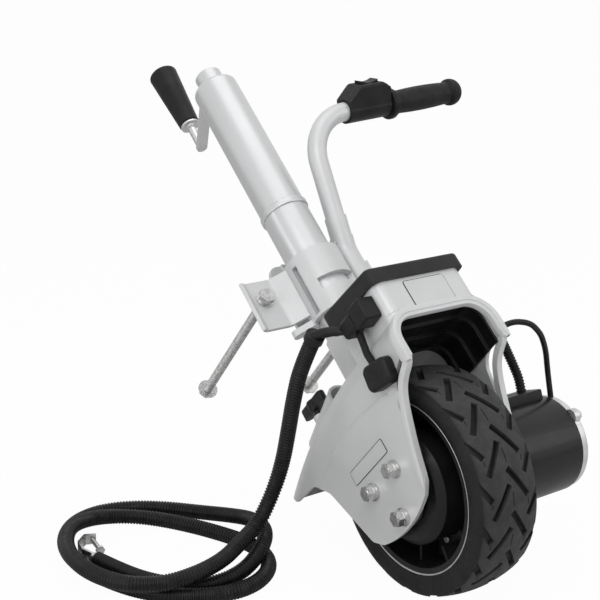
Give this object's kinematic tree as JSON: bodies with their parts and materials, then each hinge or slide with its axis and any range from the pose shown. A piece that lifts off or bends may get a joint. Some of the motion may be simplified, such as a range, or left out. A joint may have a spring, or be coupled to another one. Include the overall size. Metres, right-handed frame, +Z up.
{
  "type": "motorised jockey wheel",
  "caption": "Leaning jack tube with a crank on top, a drawbar clamp, a steering tiller, and a wheel driven by a geared motor, with its coiled power lead.",
  "frame": {"origin": "middle of the clamp's backing plate, on the face that bears on the trailer's drawbar", "axes": "+X to the front, +Y along the wheel's axle towards the motor, +Z up; the jack tube leans back 48.75 degrees from +Z towards -X"},
  "size_m": [0.8172, 0.6606, 0.5563],
  "materials": {
    "tyre_rubber": "matte",
    "rim_plastic": "satin",
    "zinc_steel": "satin",
    "hub_metal": "satin",
    "bearing_steel": "satin",
    "silver_paint": "satin",
    "black_plastic": "matte",
    "lid_plastic": "satin",
    "board_green": "satin",
    "galvanised_tube": "satin",
    "brass_nut": "satin",
    "grip_black": "satin",
    "grip_rubber": "matte",
    "motor_black": "satin",
    "magnet_grey": "matte",
    "cap_metal": "satin",
    "conduit_black": "satin"
  },
  "bodies": {
    "chassis": {"housing_shell": "silver_paint", "arch_liner": "black_plastic", "control_box": "silver_paint", "box_lid": "lid_plastic", "control_board": "board_green", "inner_tube": "galvanised_tube", "lifting_nut": "brass_nut", "gearbox_flange": "hub_metal", "stub_axle": "bearing_steel", "hub_bolts": "zinc_steel", "hub_washers": "zinc_steel", "tiller_sockets": "silver_paint", "motor_can": "motor_black", "motor_magnets": "magnet_grey", "brush_holder": "black_plastic", "motor_end_cap": "cap_metal", "case_screws": "zinc_steel", "terminal_cover": "black_plastic", "motor_conduit": "conduit_black", "motor_cable": "conduit_black", "cable_clip": "black_plastic", "power_socket": "black_plastic", "lead_plug": "black_plastic", "lead_sheath": "grip_rubber", "dust_cap": "grip_rubber", "lead_drop": "conduit_black", "lead_coil": "conduit_black", "lead_terminal": "zinc_steel"},
    "jack_bearing": {"thrust_bearing": "bearing_steel"},
    "outer_jack": {"outer_tube": "galvanised_tube", "guide_bush": "black_plastic"},
    "crank": {"lead_screw": "bearing_steel", "crank_hub": "galvanised_tube", "crank_arm": "galvanised_tube", "crank_pin": "zinc_steel"},
    "crank_handle": {"crank_grip": "grip_black"},
    "clamp": {"clamp_sleeve": "silver_paint", "saddle_wings": "silver_paint", "backing_plate": "silver_paint", "clamp_bolts": "zinc_steel", "clamp_washers": "zinc_steel", "flange_nuts": "zinc_steel"},
    "wheel": {"tyre": "tyre_rubber", "wheel_rim": "rim_plastic", "rim_screws": "zinc_steel", "hub_drum": "hub_metal", "hub_bearings": "bearing_steel"},
    "planet_1": {"planet_gear_1": "bearing_steel"},
    "planet_2": {"planet_gear_2": "bearing_steel"},
    "planet_3": {"planet_gear_3": "bearing_steel"},
    "motor_rotor": {"armature": "bearing_steel"},
    "tiller": {"tiller_leg": "silver_paint", "tiller_ferrule": "black_plastic", "tiller_tube": "silver_paint", "switch_housing": "black_plastic", "grip_collar": "black_plastic", "tiller_grip": "grip_rubber"},
    "button": {"snap_button": "bearing_steel"},
    "rocker": {"thumb_rocker": "lid_plastic"},
    "socket_screw": {"wing_screw": "black_plastic"}
  },
  "joints": [
    {"name": "crank_turn", "type": "hinge", "parent": "jack_bearing", "child": "crank", "pos_m": [-0.22351, 0, 0.25321], "axis": [-0.7518, 0, 0.6593], "range_deg": [0, 10800]},
    {"name": "jack_slide", "type": "slide", "parent": "chassis", "child": "jack_bearing", "axis": [-0.7518, 0, 0.6593], "range_m": [0, 0.18]},
    {"name": "steer", "type": "hinge", "parent": "jack_bearing", "child": "outer_jack", "pos_m": [0.07271, 0, -0.00657], "axis": [-0.7518, 0, 0.6593], "range_deg": [0, 75]},
    {"name": "crank_grip_spin", "type": "hinge", "parent": "crank", "child": "crank_handle", "pos_m": [-0.39617, 0.04661, 0.208], "axis": [-0.7518, 0, 0.6593], "continuous": true},
    {"name": "clamp_slide", "type": "slide", "parent": "outer_jack", "child": "clamp", "axis": [-0.7518, 0, 0.6593], "range_m": [-0.008, 0.06]},
    {"name": "wheel_spin", "type": "hinge", "parent": "chassis", "child": "wheel", "pos_m": [0.22759, 0, -0.1424], "axis": [0, 1, 0], "continuous": true},
    {"name": "planet_spin_1", "type": "hinge", "parent": "chassis", "child": "planet_1", "pos_m": [0.20222, 0.007, -0.12015], "axis": [0, 1, 0], "continuous": true},
    {"name": "planet_spin_2", "type": "hinge", "parent": "chassis", "child": "planet_2", "pos_m": [0.22101, 0.007, -0.1755], "axis": [0, 1, 0], "continuous": true},
    {"name": "planet_spin_3", "type": "hinge", "parent": "chassis", "child": "planet_3", "pos_m": [0.25955, 0.007, -0.13155], "axis": [0, 1, 0], "continuous": true},
    {"name": "rotor_spin", "type": "hinge", "parent": "chassis", "child": "motor_rotor", "pos_m": [0.22759, 0.12, -0.1424], "axis": [0, 1, 0], "continuous": true},
    {"name": "tiller_turn", "type": "hinge", "parent": "chassis", "child": "tiller", "pos_m": [0.0792, 0.054, -0.00827], "axis": [-0.7518, 0, 0.6593], "range_deg": [-5, 75]},
    {"name": "button_press", "type": "slide", "parent": "tiller", "child": "button", "axis": [-0.228, 0.9659, -0.1225], "range_m": [0, 0.003], "stiffness_N_per_m": 800},
    {"name": "rocker_tilt", "type": "hinge", "parent": "tiller", "child": "rocker", "pos_m": [-0.09391, 0.1518, 0.26149], "axis": [1, 0, 0], "range_deg": [-8, 8], "stiffness_Nm_per_rad": 0.5},
    {"name": "socket_screw_turn", "type": "hinge", "parent": "chassis", "child": "socket_screw", "pos_m": [-0.00493, 0, -0.11937], "axis": [-0.7518, 0, 0.6593], "range_deg": [-180, 180]}
  ],
  "couplings": [
    {"joint": "jack_slide", "follows": "crank_turn", "m_per_rad": 0.00095493},
    {"joint": "planet_spin_1", "follows": "wheel_spin", "ratio": 2.6667},
    {"joint": "planet_spin_2", "follows": "wheel_spin", "ratio": 2.6667},
    {"joint": "planet_spin_3", "follows": "wheel_spin", "ratio": 2.6667},
    {"joint": "rotor_spin", "follows": "wheel_spin", "ratio": -4}
  ]
}
